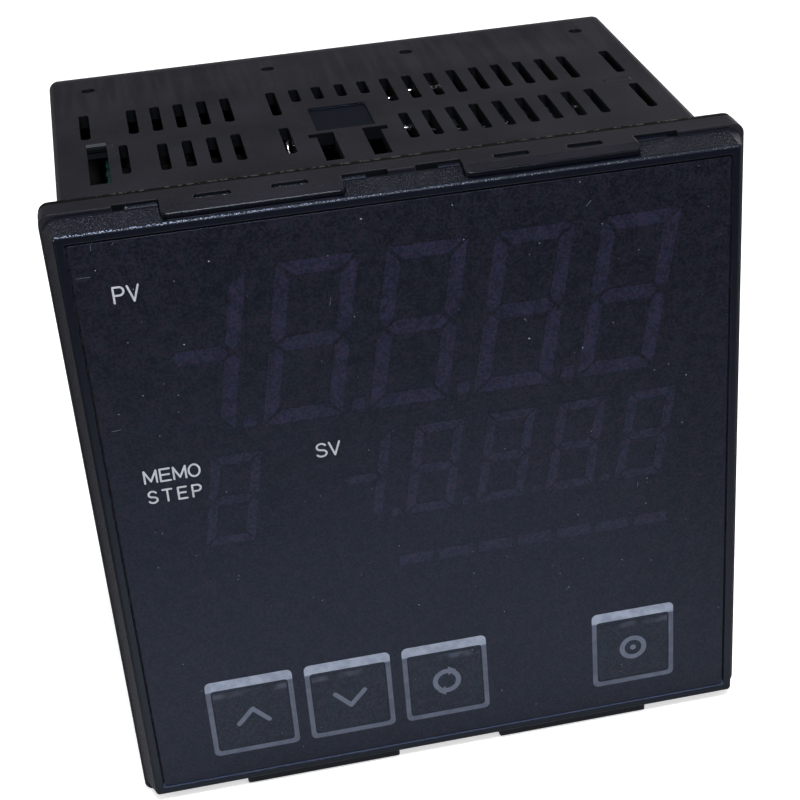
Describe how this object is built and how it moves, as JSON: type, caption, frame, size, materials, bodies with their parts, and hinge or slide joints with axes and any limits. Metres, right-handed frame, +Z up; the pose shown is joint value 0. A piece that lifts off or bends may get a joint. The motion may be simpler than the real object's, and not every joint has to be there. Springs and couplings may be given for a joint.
{
  "type": "panel temperature controller",
  "caption": "Square panel-mounted temperature controller: display and press keys in a bezel, vented case behind the panel, screw terminals at the rear.",
  "frame": {"origin": "centre of the panel cut-out, in the plane where the gasket meets the panel", "axes": "+X to the right seen from the front, +Y into the panel towards the rear, +Z up"},
  "size_m": [0.0958, 0.0686, 0.096],
  "materials": {
    "case_plastic": "black moulded plastic, fine satin grain",
    "bezel_plastic": "black moulded plastic, spark-eroded texture on the sides, smooth rim",
    "film": "black printed polycarbonate film, fine matt surface",
    "key_film": "black printed polycarbonate film over a moulded key",
    "gasket_rubber": "black sheet rubber",
    "display_glass": "smoked display glass",
    "white_plastic": "white moulded plastic",
    "strip_rubber": "pink silicone strip with black contact layers",
    "clear_plastic": "clear acrylic light guide",
    "circuit_board": "green coated glass-fibre board",
    "screw_steel": "zinc-plated steel",
    "frame_plastic": "black moulded plastic",
    "black_plastic": "black moulded plastic",
    "pin_brass": "gold-flashed square pins",
    "core_steel": "varnished steel sheets",
    "winding_tape": "yellow polyester tape over copper wire",
    "capacitor_can": "dark blue sleeve on an aluminium can",
    "film_capacitor_case": "pale yellow moulded case",
    "relay_case": "black moulded case",
    "fuse_glass": "clear glass tube",
    "fuse_metal": "nickel-plated caps",
    "terminal_plastic": "black glass-filled moulded plastic",
    "terminal_brass": "tin-plated brass",
    "plated_steel": "nickel-plated steel"
  },
  "bodies": {
    "instrument": {"alarm_relay": "relay_case", "bulk_capacitor": "capacitor_can", "display_board": "circuit_board", "display_board_screws": "screw_steel", "display_header_left": "black_plastic", "display_header_right": "black_plastic", "elastomer_strip_lower": "strip_rubber", "elastomer_strip_upper": "strip_rubber", "film_capacitor": "film_capacitor_case", "filter_capacitor": "capacitor_can", "front_bezel": "bezel_plastic", "front_overlay": "film", "fuse_caps": "fuse_metal", "fuse_tube": "fuse_glass", "header_pins_left": "pin_brass", "header_pins_right": "pin_brass", "inner_frame": "frame_plastic", "lcd_glass": "display_glass", "lcd_holder": "white_plastic", "light_guide": "clear_plastic", "line_filter": "black_plastic", "main_board": "circuit_board", "outer_case": "case_plastic", "output_relay": "relay_case", "panel_gasket": "gasket_rubber", "power_board": "circuit_board", "processor": "black_plastic", "reflector_sheet": "white_plastic", "side_board_screws": "screw_steel", "supply_capacitor": "capacitor_can", "tact_switch_down": "black_plastic", "tact_switch_mode": "black_plastic", "tact_switch_out_off": "black_plastic", "tact_switch_up": "black_plastic", "terminal_block_left": "terminal_plastic", "terminal_block_right": "terminal_plastic", "terminal_clamp_plates": "plated_steel", "terminal_contacts": "terminal_brass", "terminal_screws": "plated_steel", "transformer_core": "core_steel", "transformer_winding": "winding_tape"},
    "key_up": {"key_up": "key_film", "switch_plunger_up": "black_plastic"},
    "key_down": {"key_down": "key_film", "switch_plunger_down": "black_plastic"},
    "key_mode": {"key_mode": "key_film", "switch_plunger_mode": "black_plastic"},
    "key_out_off": {"key_out_off": "key_film", "switch_plunger_out_off": "black_plastic"}
  },
  "joints": [
    {"name": "key_up_press", "type": "slide", "parent": "instrument", "child": "key_up", "axis": [0, 1, 0], "range_m": [0, 0.0003], "stiffness_N_per_m": 2000},
    {"name": "key_down_press", "type": "slide", "parent": "instrument", "child": "key_down", "axis": [0, 1, 0], "range_m": [0, 0.0003], "stiffness_N_per_m": 2000},
    {"name": "key_mode_press", "type": "slide", "parent": "instrument", "child": "key_mode", "axis": [0, 1, 0], "range_m": [0, 0.0003], "stiffness_N_per_m": 2000},
    {"name": "key_out_off_press", "type": "slide", "parent": "instrument", "child": "key_out_off", "axis": [0, 1, 0], "range_m": [0, 0.0003], "stiffness_N_per_m": 2000}
  ]
}
